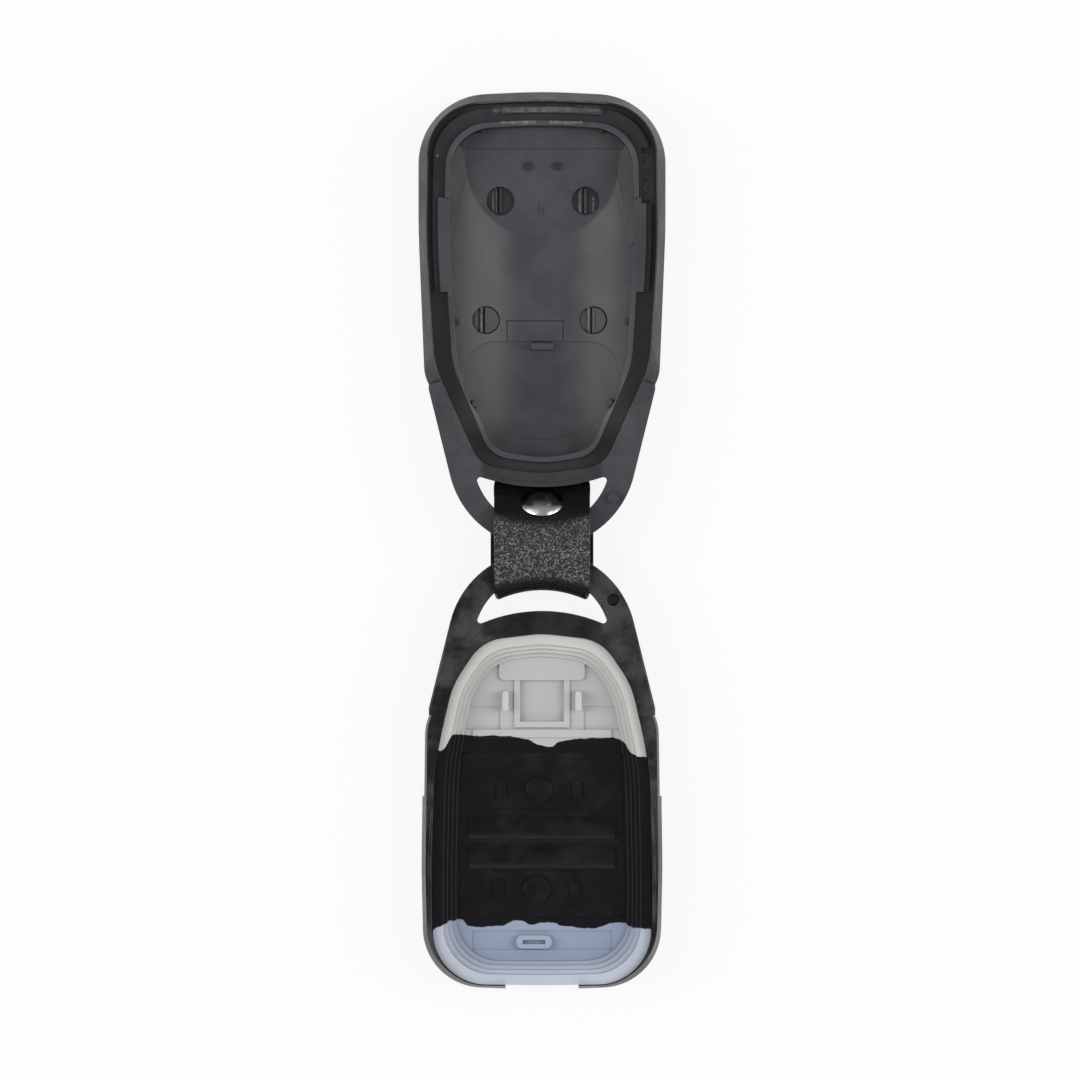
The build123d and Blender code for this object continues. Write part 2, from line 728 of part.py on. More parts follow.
# Button pad: a flange on the frame's ledge, and a body in the window that steps down to a floor
with BuildPart() as button_pad:
    add(prism(seat_outline, (0,), ledge_z, flange_top_z))
    add(prism(seat_outline, (window_inset,), pad_face_z, ledge_z))
    fillet(button_pad.edges().group_by(Axis.Z)[0], pad_edge_radius)
    for step in range(step_count):
        bottom_z = flange_top_z - (step + 1) * step_height
        inset = window_inset + step * step_width
        add(prism(seat_outline, (inset,), bottom_z, flange_top_z), mode=Mode.SUBTRACT)
    with BuildSketch(Plane.XY.offset(key_shelf_z)):
        add(key_sketch(0, lock_key_start_y, unlock_key_end_y))
    extrude(amount=flange_top_z, mode=Mode.SUBTRACT)
    for start_y, end_y in key_spans:
        with BuildSketch(Plane.XY):
            add(key_sketch(key_overlap, start_y - key_overlap, end_y + key_overlap))
        extrude(amount=flange_top_z, mode=Mode.SUBTRACT)
    with Locations((0, recess_centre_y, pad_floor_z - recess_depth)):
        Box(
            recess_width + 2 * recess_border,
            recess_length + 2 * recess_border,
            recess_depth + recess_border_height,
            align=standing,
        )
        Box(recess_width, recess_length, flange_top_z, align=standing, mode=Mode.SUBTRACT)
    with BuildPart(mode=Mode.PRIVATE) as plateau:
        with Locations((0, sum(plateau_y) / 2, pad_floor_z - recess_depth)):
            Box(
                2 * plateau_half_width,
                plateau_y[0] - plateau_y[1],
                recess_depth + plateau_height,
                align=standing,
            )
        fillet(plateau.edges().filter_by(Axis.Z), plateau_corner_radius)
    add(plateau.part)
    with Locations((0, sum(band_y) / 2, pad_floor_z - recess_depth)):
        Box(2 * band_half_width, band_y[0] - band_y[1], recess_depth + band_height, align=standing)
    with Locations((0, sum(end_hollow_y) / 2, pad_floor_z - end_hollow_depth)):
        Box(
            2 * end_hollow_half_width,
            end_hollow_y[0] - end_hollow_y[1],
            fold_z,
            align=standing,
            mode=Mode.SUBTRACT,
        )
    with BuildPart(mode=Mode.PRIVATE) as hollows:
        add(prism(seat_outline, (floor_inset,), pad_floor_z - side_hollow_depth, pad_floor_z, side_hollow_y))
        Box(2 * side_hollow_x, 4 * rear_half_width, fold_z, mode=Mode.SUBTRACT)
    add(hollows.part, mode=Mode.SUBTRACT)
    for side in (-1, 1):
        with BuildPart(mode=Mode.PRIVATE) as clip:
            with Locations((side * clip_x, clip_y, pad_floor_z - recess_depth)):
                Box(clip_width, clip_length, recess_depth + clip_height, align=standing)
            fillet(clip.edges().filter_by(Axis.Z), clip_corner_radius)
        add(clip.part)
    with Locations((slot_x, slot_y, pad_floor_z - recess_depth)):
        with BuildPart(mode=Mode.PRIVATE) as collar:
            Box(slot_collar_width, slot_collar_length, recess_depth + slot_collar_height, align=standing)
            fillet(collar.edges().filter_by(Axis.Z), slot_collar_corner_radius)
            Box(slot_width, slot_length, flange_top_z, align=standing, mode=Mode.SUBTRACT)
        add(collar.part)

# Keys, each a plate with a rim that rests on the pad's shelf and a cap below it that the thumb presses
keys = {}
for name, (start_y, end_y), (boss_x, boss_y), side_of_split in (
    ("lock_key", key_spans[0], lock_boss, 1),
    ("unlock_key", key_spans[1], unlock_boss, -1),
):
    with BuildPart() as key:
        with BuildSketch(Plane.XY.offset(key_shelf_z + key_seat_gap)):
            add(key_sketch(key_gap, start_y - key_gap, end_y + key_gap))
        extrude(amount=pad_floor_z - key_shelf_z - key_seat_gap)
        with BuildSketch(Plane.XY.offset(key_face_z)):
            inset = key_overlap + key_gap
            add(key_sketch(inset, start_y - inset, end_y + inset))
        extrude(amount=pad_floor_z - key_face_z)
        fillet(key.edges().group_by(Axis.Z)[0], pad_edge_radius)
        with Locations((boss_x, boss_y, pad_floor_z)):
            Cylinder(boss_radius, boss_height, align=standing)
        fillet(key.edges().group_by(Axis.Z)[-1], boss_edge_radius)
        for side in (-1, 1):
            with Locations((boss_x + side * side_rib_x, boss_y, pad_floor_z)):
                Box(side_rib_width, side_rib_length, side_rib_height, align=standing)
        with Locations((boss_x, boss_y - side_of_split * line_from_boss, pad_floor_z - line_depth)):
            Box(2 * line_half_length, line_width, fold_z, align=standing, mode=Mode.SUBTRACT)
        ridge_y = key_split_y + side_of_split * ridge_from_split
        with BuildSketch(Plane.YZ):
            with BuildLine():
                ridge = ThreePointArc(
                    (ridge_y - ridge_width / 2, pad_floor_z),
                    (ridge_y, pad_floor_z + ridge_height),
                    (ridge_y + ridge_width / 2, pad_floor_z),
                )
                Polyline(
                    ridge @ 1,
                    (ridge_y + ridge_width / 2, pad_floor_z - pad_edge_radius),
                    (ridge_y - ridge_width / 2, pad_floor_z - pad_edge_radius),
                    ridge @ 0,
                )
            make_face()
        extrude(amount=ridge_half_length, both=True)
    keys[name] = key.part

# Strap: a belt round both loops' bars, its flap snapped over its other end inside the rear loop
across = (0, cos(radians(snap_angle)), -sin(radians(snap_angle)))
outwards = (0, sin(radians(snap_angle)), cos(radians(snap_angle)))


def strap_point(along, down):
    """Point in the YZ plane, from the snap's centre in the flap: along the flap, and down into the layers."""
    return (
        snap_y + along * across[1] - down * outwards[1],
        snap_z + along * across[2] - down * outwards[2],
    )


def strap_section(x):
    """Section through the belt at one distance from its middle; its roll and its flap's end bow outwards."""
    bow = (2 * x / strap_width) ** 2
    front_y = strap_front_y + strap_thickness / 2 - strap_side_bow * bow
    end_y = flap_end_y + flap_end_bow * bow
    end_bend_z = snap_z - (end_y - snap_y) * tan(radians(snap_angle))
    with BuildSketch(Plane.YZ.offset(x)) as section:
        with BuildLine():
            FilletPolyline(
                (end_y, flap_end_z),
                (end_y, end_bend_z),
                strap_point(-flap_rise, 0),
                (bar_bend_y, belt_top_z),
                (front_y, belt_top_z),
                (front_y, belt_low_z),
                (tongue_bend_y - tongue_lead, belt_low_z),
                radius=[flap_end_radius, flap_bend_radius, bar_bend_radius, roll_radius, roll_radius],
            )
            offset(amount=strap_thickness / 2, side=Side.BOTH, closed=True)
        make_face()
    return section.sketch


belt_top_z = rim_z + strap_top_gap + strap_thickness / 2
belt_low_z = strap_lower_z + strap_thickness / 2
tuck_distance = strap_thickness + snap_gap
tuck_y, tuck_z = strap_point(0, tuck_distance)
tongue_bend_y = tuck_y + (tuck_z - belt_low_z) / tan(radians(snap_angle))
tongue_lead = tuck_radius / tan(radians(snap_angle) / 2) + tongue_root

snap_plane = Plane(origin=(0, snap_y, snap_z), x_dir=(1, 0, 0), z_dir=outwards)
leather_top = strap_thickness / 2
leather_under = -strap_thickness / 2
tuck_top = leather_under - snap_gap
tuck_under = tuck_top - strap_thickness

with BuildPart() as strap:
    for x in (-strap_width / 2, 0, strap_width / 2):
        add(strap_section(x))
    loft()
    with BuildSketch(Plane.YZ):
        with BuildLine():
            FilletPolyline(
                (tongue_bend_y - 3 * tongue_lead, belt_low_z),
                (tongue_bend_y, belt_low_z),
                strap_point(-tuck_overhang, tuck_distance),
                radius=tuck_radius,
            )
            offset(amount=strap_thickness / 2, side=Side.BOTH, closed=True)
        make_face()
    extrude(amount=tongue_half_width, both=True)
    with BuildSketch(snap_plane):
        Circle(post_hole_radius)
    extrude(amount=2 * strap_thickness + 2 * snap_gap, both=True, mode=Mode.SUBTRACT)

# Snap: a domed cap and its socket on the flap, and a stud held by a post on the tucked end
with BuildPart() as snap_cap:
    with BuildSketch(Plane.XZ):
        with BuildLine():
            dome = ThreePointArc(
                (0, leather_top + cap_height),
                (cap_shoulder[0] * cap_radius, leather_top + cap_shoulder[1] * cap_height),
                (cap_radius, leather_top),
            )
            Polyline(
                dome @ 1,
                (snap_barrel_radius, leather_top),
                (snap_barrel_radius, tuck_top + socket_floor),
                (0, tuck_top + socket_floor),
                dome @ 0,
            )
        make_face()
    revolve(axis=Axis.Z)

with BuildPart() as snap_socket:
    with Locations((0, 0, leather_under - socket_height)):
        Cylinder(socket_radius, socket_height, align=standing)
        Cylinder(snap_barrel_radius + snap_clearance, fold_z, align=standing, mode=Mode.SUBTRACT)
        Cylinder(stud_radius + snap_clearance, socket_height - socket_web, align=standing, mode=Mode.SUBTRACT)
    fillet(snap_socket.edges().group_by(Axis.Z)[0].sort_by(SortBy.LENGTH)[-1], socket_edge_radius)

with BuildPart() as snap_stud:
    with Locations((0, 0, tuck_top)):
        Cylinder(stud_base_radius, stud_base_thickness, align=standing)
        Cylinder(stud_radius, stud_height, align=standing)
    fillet(snap_stud.edges().group_by(Axis.Z)[-1], stud_edge_radius)
    with Locations((0, 0, tuck_top)):
        Cylinder(snap_barrel_radius, stud_height, align=standing, mode=Mode.SUBTRACT)

with BuildPart() as snap_post:
    with Locations((0, 0, tuck_under - post_thickness)):
        Cylinder(post_radius, post_thickness, align=standing)
        Cylinder(
            snap_barrel_radius - snap_clearance,
            post_thickness + strap_thickness + stud_base_thickness,
            align=standing,
        )

os.makedirs("parts", exist_ok=True)
for name, part in (
    ("rear_cover", rear_cover.part),
    ("front_cover", front_cover.part),
    ("button_pad", button_pad.part),
    ("lock_key", keys["lock_key"]),
    ("unlock_key", keys["unlock_key"]),
    ("strap", strap.part),
    ("snap_cap", snap_plane * snap_cap.part),
    ("snap_socket", snap_plane * snap_socket.part),
    ("snap_stud", snap_plane * snap_stud.part),
    ("snap_post", snap_plane * snap_post.part),
):
    save(part, name)
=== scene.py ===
from math import atan, cos, radians, sin, tan

import bmesh
import bpy
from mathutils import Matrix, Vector


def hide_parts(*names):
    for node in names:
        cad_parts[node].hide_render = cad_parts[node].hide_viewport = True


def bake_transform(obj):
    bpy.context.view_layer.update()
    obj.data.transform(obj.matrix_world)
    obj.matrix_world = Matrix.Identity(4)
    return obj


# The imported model, in metres: +Y runs from the fold line along the rear cover, +Z up from the table
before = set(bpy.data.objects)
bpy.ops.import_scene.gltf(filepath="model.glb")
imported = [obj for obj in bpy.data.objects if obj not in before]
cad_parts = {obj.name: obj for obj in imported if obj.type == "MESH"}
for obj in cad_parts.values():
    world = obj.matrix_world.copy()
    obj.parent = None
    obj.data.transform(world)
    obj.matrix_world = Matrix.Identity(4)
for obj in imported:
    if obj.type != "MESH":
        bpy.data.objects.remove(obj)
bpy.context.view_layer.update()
mm = 0.001

# Sizes that the solids and this scene share
RIM_Z = 6.45 * mm

# Belt, a strap through both loops whose flap is snapped over its other end
BELT_WIDTH = 14.4 * mm
BELT_THICKNESS = 0.85 * mm
BELT_EDGE_RADIUS = 0.18 * mm
BELT_TOP_Z = 7.03 * mm
BELT_LOW_Z = 1.98 * mm
BELT_FRONT_Y = -5.78 * mm
BAR_BEND_Y = 1.2 * mm
# Radii of its bends: flap's end, flap's rise, rear bar, and the top and the bottom of the front roll
BELT_BEND_RADII = (0.8 * mm, 1.6 * mm, 3.0 * mm, 1.7 * mm, 1.7 * mm)
BELT_COLUMNS = 44
BELT_ROW_LENGTH = 0.35 * mm
# Front roll, which bows back in its middle and is drawn in at its sides
BELT_BOW = 1.45 * mm
ROLL_START_Y = -2.5 * mm
ROLL_LENGTH = 3.0 * mm
ROLL_TAPER = 0.07
# Lower layer, a little wider than the top one
LOWER_LAYER_EXTRA = 0.55 * mm
LOWER_LAYER_Z = 5.0 * mm
LOWER_LAYER_FADE = 3.0 * mm
# Tongue, the narrow end that turns up to the snap's socket
TONGUE_HALF_WIDTH = 3.3 * mm
TONGUE_RADIUS = 1.0 * mm
TONGUE_LEAD = 0.3 * mm
TONGUE_REACH = 2.5 * mm
LAYER_DISTANCE = 1.8 * mm
# Snap and the flap that it holds
SNAP_ANGLE = radians(50)
SNAP_CENTRE = Vector((0, 6.72, 6.3)) * mm
FLAP_RISE = 3.7 * mm
FLAP_FOLD_Y = 7.4 * mm
FLAP_END_Y = 9.05 * mm
FLAP_END_Z = 1.9 * mm
FLAP_END_BOW = 0.85 * mm

# Lines where the button pad's three colours meet, as (x, y) in millimetres, and the Y range that holds each
TOP_COLOUR_LINE = (
    (-16.5, -30.3), (-15.0, -30.2), (-13.1, -27.9), (-10.9, -28.1), (-4.6, -28.2),
    (-2.1, -28.8), (-0.4, -29.5), (1.2, -29.8), (2.3, -29.2), (4.7, -28.7),
    (9.9, -28.5), (11.9, -28.8), (14.0, -31.0), (16.5, -31.2),
)
TOP_LINE_RANGE = (-33, -26)
TOP_LINE_SOFT = 0.06 * mm
BOTTOM_COLOUR_LINE = (
    (-16.5, -57.6), (-15.4, -56.7), (-12.1, -55.9), (-11.1, -56.8), (-6.0, -56.8),
    (-4.9, -56.3), (-3.3, -56.0), (-1.6, -56.5), (1.0, -56.3), (3.3, -56.8),
    (8.1, -57.2), (10.3, -56.4), (12.4, -56.4), (13.3, -56.9), (16.5, -57.0),
)
BOTTOM_LINE_RANGE = (-60, -54)
BOTTOM_LINE_SOFT = 0.08 * mm
LINE_WAVER = 0.7 * mm
# Heights between which the pad goes from its low tones to its full ones
PAD_TONE_Z = (1.8 * mm, 5.2 * mm)

# Textures, as features per metre
PLASTIC_GRAIN = 2600
PLASTIC_SPECKS = 3800
PLASTIC_TEXTURE = 1500
PLASTIC_CLOUDS = 180
PLASTIC_SCUFFS = 60
PAD_CLOUDS = 120
PAD_SMEARS = 260
PAD_TEXTURE = 900
PAD_LINE_WAVER = 700
KEY_SMEARS = 220
KEY_TEXTURE = 500
LEATHER_PEBBLES = 3900
LEATHER_CREASES = 1100
LEATHER_PATCHINESS = 160
POLISHING_MARKS = 900

# Radii to which the looks of edges are rounded, and reaches of the shade in their corners
PLASTIC_EDGE = 0.12 * mm
PAD_EDGE = 0.06 * mm
KEY_EDGE = 0.08 * mm
PLASTIC_CORNER_REACH = 0.6 * mm
PAD_CORNER_REACH = 0.4 * mm

# Colours of the pad and the keys, most of them as two tones that mix in clouds
WARM_GREY = (0.55, 0.55, 0.52, 1), (0.62, 0.62, 0.59, 1)
WARM_GREY_LOW = (0.49, 0.49, 0.495, 1)
PALE_BLUE = (0.42, 0.45, 0.53, 1), (0.52, 0.56, 0.64, 1)
PALE_BLUE_LOW = (0.29, 0.34, 0.45, 1)
PAD_BLACK = (0.0015, 0.0015, 0.003, 1), (0.0045, 0.0045, 0.007, 1)
# Painted shade in the pad's corners
PAD_CORNER_SHADE = (0.12, 0.12, 0.125, 1)
KEY_BLACK = (0.0015, 0.0015, 0.003, 1), (0.009, 0.009, 0.012, 1)

# Colours of the leather and the nickel
# Leather's colour in painted shade and where it is lit, and its paler pebble tops
LEATHER_SHADED = (0.005, 0.0045, 0.0045, 1)
LEATHER_LIT = (0.026, 0.026, 0.0275, 1)
LEATHER_PALE_TOPS = (0.24, 0.238, 0.24, 1)
# Lit zone of the leather's top layer between the front roll and the snap, outside which its colour is painted
# shade, and the bow of its two ends, per metre
LIT_FRONT_Y = (-5.0 * mm, -3.5 * mm)
LIT_SNAP_Y = (4.4 * mm, 2.6 * mm)
LIT_Z = (6.0 * mm, 6.9 * mm)
LIT_BOW = 26.0
CAP_NICKEL = (0.82, 0.80, 0.75, 1)
# Painted shade on the cap, under the rear cover's edge, and the Y over which the cap goes from bright nickel
# to it
CAP_PAINTED_SHADE = (0.05, 0.045, 0.045, 1)
CAP_ROUGHNESS = 0.2
CAP_SHADE_Y = (7.0 * mm, 6.0 * mm)
INNER_NICKEL = (0.55, 0.54, 0.52, 1)
INNER_ROUGHNESS = 0.3

# Colours that both covers share: painted highlights on raised places and on edges, and painted shade in
# hollows and shaded places
PAINTED_HIGHLIGHT = (0.30, 0.30, 0.29, 1)
EDGE_HIGHLIGHT = (0.12, 0.12, 0.125, 1)
PAINTED_SHADE_COLOUR = (0.004, 0.004, 0.005, 1)

# Rear floor, in millimetres: its flat far end, painted reflections of the side lamps as paler bands along its
# trough, shade at its loop end
FLAT_END_CENTRE = (0.1, 58.5)
FLAT_END_RADIUS = 11.65
FLAT_END_SOFT = 0.15
TROUGH_BANDS = ((-12.0, -5.6), (18, 60), 2.3), ((6.3, 12.4), (18, 60), 2.3)
TROUGH_SHEEN = 0.19
LOOP_END_SHADE = ((-3.2, 3.4), (20.5, 29.3), 1.6)
LOOP_END_STRENGTH = 0.25
# Discs of painted shade on the rear floor, as centre, radius and strength: four pin marks and two pips
REAR_DISCS = (
    ((-6.2, 52.3), 2.05, 0.6), ((6.7, 52.3), 2.05, 0.5), ((-8.4, 34.6), 2.05, 0.25), ((7.6, 34.6), 2.05, 0.1),
    ((-2.1, 57.6), 0.62, 0.6), ((2.25, 57.6), 0.62, 0.6),
)
DISC_SOFT = 0.1

# Shares of the rear plastic's own colour over its height in millimetres, the rest being painted shade in its
# groove and on its ledges: floor, groove, ledges, rib and rim
REAR_HEIGHT_SHADE = (
    (0, 1.0), (3.4, 1.0), (4.0, 0.35), (4.45, 0.55), (5.0, 0.5), (5.2, 0.52), (5.65, 0.85),
    (6.15, 1.0), (6.3, 0.9), (6.42, 0.88), (7.1, 0.88),
)
# Painted glints on raised places of the rear cover, as X and Y ranges, soft edge, share of flecks and
# strength
REAR_GLINTS = (
    # End tab, far rib, middle of the far rim
    ((-7.4, 8.65), (65.6, 66.6), 0.12, 0.7, 0.28), ((-6.3, -1.0), (63.8, 64.3), 0.12, 0.7, 0.45),
    ((1.2, 6.1), (63.8, 64.3), 0.12, 0.7, 0.4), ((-9.0, 9.1), (67.2, 68.9), 0.12, 0.7, 0.16),
    # Pip in the groove, and the side ledge
    ((-15.85, -15.6), (58.95, 59.25), 0.1, 0, 0.8), ((14.9, 16.6), (52.4, 59.5), 0.2, 0.8, 0.14),
    # Ribs in the upper pin marks
    ((-7.5, -7.2), (50.6, 54.2), 0.08, 0.5, 0.75), ((-6.85, -6.55), (50.5, 53.8), 0.08, 0.8, 0.6),
    ((5.5, 5.8), (50.7, 54.1), 0.08, 0.5, 0.75), ((6.2, 6.5), (50.5, 54.2), 0.08, 0.8, 0.65),
    ((7.6, 7.85), (50.8, 53.0), 0.08, 0.8, 0.5),
    # Ribs in the lower pin marks
    ((-10.0, -9.75), (33.0, 36.2), 0.08, 0.6, 0.5), ((-9.3, -9.05), (32.8, 36.4), 0.08, 0.8, 0.5),
    ((6.75, 7.05), (33.0, 36.5), 0.08, 0.7, 0.6), ((7.45, 7.7), (32.7, 36.2), 0.08, 0.8, 0.5),
)
# Darker places of the covers, as X and Y ranges, lowest height, soft edge and strength: the rear cover's two
# far corners and its bar, and the front cover's edge beside the loop
REAR_SHADE = (
    ((-19.0, -9.2), (58.9, 69.5), 6.3, 0.15, 0.8), ((9.3, 19.0), (59.6, 69.5), 6.3, 0.15, 0.8),
    ((-9.0, 9.0), (8.8, 13.0), 6.0, 0.5, 0.42),
)
FRONT_SHADE = (((-9.0, 9.0), (-13.2, -8.6), 0, 0.6, 0.7),)
SHADE_FADE = 0.12

# Heights between which the rims take their grain, and the plastic's optical density
RIM_GRAIN_Z = (6.3 * mm, 6.42 * mm)
PLASTIC_IOR = 1.32

# Plastic of each cover: two tones of its inner side, its outer side and the specks on its grain
REAR_INSIDE = (0.056, 0.055, 0.063, 1), (0.070, 0.069, 0.077, 1)
REAR_OUTSIDE = (0.014, 0.014, 0.015, 1)
REAR_SPECKS = (0.026, 0.026, 0.026, 1)
# Colour of the painted shade on the rear cover: in its groove, on its ledges, on its floor's slopes and in
# its round marks
REAR_PAINTED_SHADE = (0.009, 0.009, 0.011, 1)
FRONT_INSIDE = (0.003, 0.003, 0.004, 1), (0.050, 0.050, 0.053, 1)
FRONT_OUTSIDE = (0.012, 0.012, 0.013, 1)
FRONT_SPECKS = (0.022, 0.022, 0.024, 1)

# Studio: soft boxes as name, place, width, length and watts, all turned to the origin
LIGHT_BOXES = (
    ("left_box", (-0.78, 0.05, 0.5), 0.4, 0.9, 6.0),
    ("right_box", (0.78, 0.05, 0.5), 0.4, 0.9, 6.0),
    ("far_box", (0, 0.85, 0.35), 0.9, 0.3, 1.4),
    ("near_box", (0, -0.75, 0.5), 0.9, 0.4, 2.2),
    ("overhead_lamp", (0, -0.12, 1.3), 0.2, 0.2, 0.2),
)
BACKGROUND_LIGHT = 0.25
TABLE_HALF_SIZE = 1.5
TABLE_GLOW = 0.88

# Camera over the middle of the photograph, and the length of the rim's plane that it sees
CAMERA_HEIGHT = 0.9
CAMERA_CENTRE = Vector((-0.3, 1.35, 0)) * mm
SEEN_LENGTH = 162 * mm


class Finish:
    """A material under construction: its nodes are added by type and joined by their sockets' names."""

    def __init__(self, name):
        self.material = bpy.data.materials.new(name)
        self.material.use_nodes = True
        self.nodes = self.material.node_tree.nodes
        self.links = self.material.node_tree.links
        self.shader = self.nodes["Principled BSDF"]

    def add(self, kind, **inputs):
        """A node of this kind, with its input sockets set to values or joined to other nodes' sockets."""
        node = self.nodes.new("ShaderNode" + kind)
        self.set(node, **inputs)
        return node

    def set(self, node, **inputs):
        """Sets input sockets, named by their label with _ for each space, or by _ and their number."""
        for name, value in inputs.items():
            socket = node.inputs[int(name[1:])] if name[0] == "_" else node.inputs[name.replace("_", " ")]
            if isinstance(value, bpy.types.NodeSocket):
                self.links.new(value, socket)
            else:
                socket.default_value = value

    def math(self, operation, *values, clamp=False):
        """The result of a math node on values or sockets."""
        node = self.nodes.new("ShaderNodeMath")
        node.operation = operation
        node.use_clamp = clamp
        self.set(node, **{f"_{i}": value for i, value in enumerate(values)})
        return node.outputs[0]

    def blend_colours(self, factor, first, second):
        """A colour that goes from the first to the second as the factor goes from 0 to 1."""
        node = self.nodes.new("ShaderNodeMix")
        node.data_type = "RGBA"
        self.set(node, _0=factor, _6=first, _7=second)
        return node.outputs[2]

    def ramp(self, factor, low, high):
        """0 below one value of the factor and 1 above another, smooth between them."""
        node = self.add("MapRange", Value=factor, From_Min=low, From_Max=high)
        node.interpolation_type = "SMOOTHSTEP"
        return node.outputs[0]

    def place(self):
        """The object's own coordinates."""
        return self.add("TexCoord").outputs["Object"]

    def axes(self):
        """The object's own X, Y and Z."""
        return self.add("SeparateXYZ", _0=self.place()).outputs

    def noise(self, scale, detail=4.0, roughness=0.5):
        """Cloudy noise from 0 to 1."""
        node = self.add("TexNoise", Vector=self.place(), Scale=scale, Detail=detail, Roughness=roughness)
        return node.outputs["Fac"]

    def cells(self, scale):
        """Distance to the nearest of many scattered points, smooth between them."""
        node = self.add("TexVoronoi", Vector=self.place(), Scale=scale, Randomness=1.0)
        node.feature = "SMOOTH_F1"
        return node.outputs["Distance"]

    def softened(self, radius):
        """The surface's normal, as if its edges were rounded."""
        return self.add("Bevel", Radius=radius).outputs["Normal"]

    def openness(self, distance):
        """1 on open faces, less in corners and hollows of about this size."""
        node = self.add("AmbientOcclusion", Distance=distance)
        node.samples = 8
        return node.outputs["AO"]

    def curve(self, value, points, low, high):
        """A length put through a smooth curve of (millimetres, result) points, all between low and high."""
        first, last = points[0][0], points[-1][0]
        part_way = self.add("MapRange", Value=value, From_Min=first * mm, From_Max=last * mm).outputs[0]
        node = self.add("FloatCurve", Value=part_way)
        line = node.mapping.curves[0]
        steps = [((x - first) / (last - first), (result - low) / (high - low)) for x, result in points]
        line.points[0].location = steps[0]
        line.points[1].location = steps[-1]
        for step in steps[1:-1]:
            line.points.new(*step)
        node.mapping.update()
        return self.math("MULTIPLY_ADD", node.outputs[0], high - low, low)

    def patch(self, x_range, y_range, soft):
        """1 inside a rectangle of the plan and 0 outside it, in millimetres, with soft edges."""
        mask = 1.0
        for value, (low, high) in zip(self.axes(), (x_range, y_range)):
            mask = self.math("MULTIPLY", mask, self.ramp(value, (low - soft) * mm, (low + soft) * mm))
            mask = self.math("MULTIPLY", mask, self.ramp(value, (high + soft) * mm, (high - soft) * mm))
        return mask

    def disc(self, centre, radius, soft):
        """1 inside a circle of the plan and 0 outside it, in millimetres, with a soft edge."""
        away = [self.math("SUBTRACT", value, middle * mm) for value, middle in zip(self.axes(), centre)]
        squares = [self.math("POWER", value, 2.0) for value in away]
        distance = self.math("SQRT", self.math("ADD", *squares))
        return self.ramp(distance, (radius + soft) * mm, (radius - soft) * mm)

    def bump(self, height, strength, distance, normal=None):
        """A normal raised and sunk by a height."""
        node = self.add("Bump", Height=height, Strength=strength, Distance=distance)
        if normal:
            self.set(node, Normal=normal)
        return node.outputs["Normal"]


def trough_sides(finish):
    """1 on the two sides of the rear floor's trough, up to the round of its flat far end, and 0 elsewhere."""
    flat_end = finish.disc(FLAT_END_CENTRE, FLAT_END_RADIUS, FLAT_END_SOFT)
    beyond = finish.math("SUBTRACT", 1.0, flat_end)
    left, right = (finish.patch(*band) for band in TROUGH_BANDS)
    return finish.math("MULTIPLY", finish.math("ADD", left, right), beyond)


def rear_floor(finish, colour, facing):
    """The rear floor's colour: painted reflections as paler bands along its trough, painted shade on its
    slopes, at its loop end and in its round marks.
    """
    # Painted reflections of the side lamps on the trough's curved sides
    painted_sheen = finish.math("MULTIPLY", trough_sides(finish), TROUGH_SHEEN)
    colour = finish.blend_colours(painted_sheen, colour, PAINTED_HIGHLIGHT)
    # Painted shade on the floor's slopes, at its loop end and in its round marks
    slope_shade = finish.math("MULTIPLY", finish.ramp(facing, 0.985, 0.9), 0.85)
    shade = finish.math("MULTIPLY", finish.patch(*LOOP_END_SHADE), LOOP_END_STRENGTH)
    for centre, radius, amount in REAR_DISCS:
        disc = finish.math("MULTIPLY", finish.disc(centre, radius, DISC_SOFT), amount)
        shade = finish.math("MAXIMUM", shade, disc)
    return finish.blend_colours(finish.math("MAXIMUM", slope_shade, shade), colour, REAR_PAINTED_SHADE)


def shade_places(finish, colour, height, places):
    """Darkens places of a cover above their lowest heights."""
    for x_range, y_range, low, soft, amount in places:
        raised = finish.math("MULTIPLY", finish.ramp(height, low * mm, (low + SHADE_FADE) * mm), amount)
        shadow = finish.math("MULTIPLY", finish.patch(x_range, y_range, soft), raised)
        colour = finish.blend_colours(shadow, colour, PAINTED_SHADE_COLOUR)
    return colour


def paint_glints(finish, colour, fine, places):
    """Paints glints, painted highlights, on places of a cover, partly in flecks."""
    for x_range, y_range, soft, flecked, amount in places:
        flecks = finish.math("MULTIPLY_ADD", finish.ramp(fine, 0.38, 0.62), flecked, 1 - flecked)
        flecks = finish.math("MULTIPLY", flecks, amount)
        glint = finish.math("MULTIPLY", finish.patch(x_range, y_range, soft), flecks)
        colour = finish.blend_colours(glint, colour, PAINTED_HIGHLIGHT)
    return colour


def paint_edge_highlights_and_corner_shade(finish, colour, softened):
    """Paints highlights on outer edges and shade in inner corners."""
    flat = finish.add("NewGeometry").outputs["Normal"]
    turned = finish.add("VectorMath", _0=flat, _1=softened)
    turned.operation = "DOT_PRODUCT"
    openness = finish.openness(PLASTIC_CORNER_REACH)
    # Painted highlight along rounded outer edges that are open
    rounded = finish.ramp(turned.outputs["Value"], 0.985, 0.8)
    edge = finish.math("MULTIPLY", rounded, finish.ramp(openness, 0.6, 0.9))
    colour = finish.blend_colours(finish.math("MULTIPLY", edge, 0.55), colour, EDGE_HIGHLIGHT)
    # Painted shade in inner corners and hollows
    hollow_shade = finish.ramp(openness, 0.75, 0.35)
    return finish.blend_colours(finish.math("MULTIPLY", hollow_shade, 0.8), colour, PAINTED_SHADE_COLOUR)


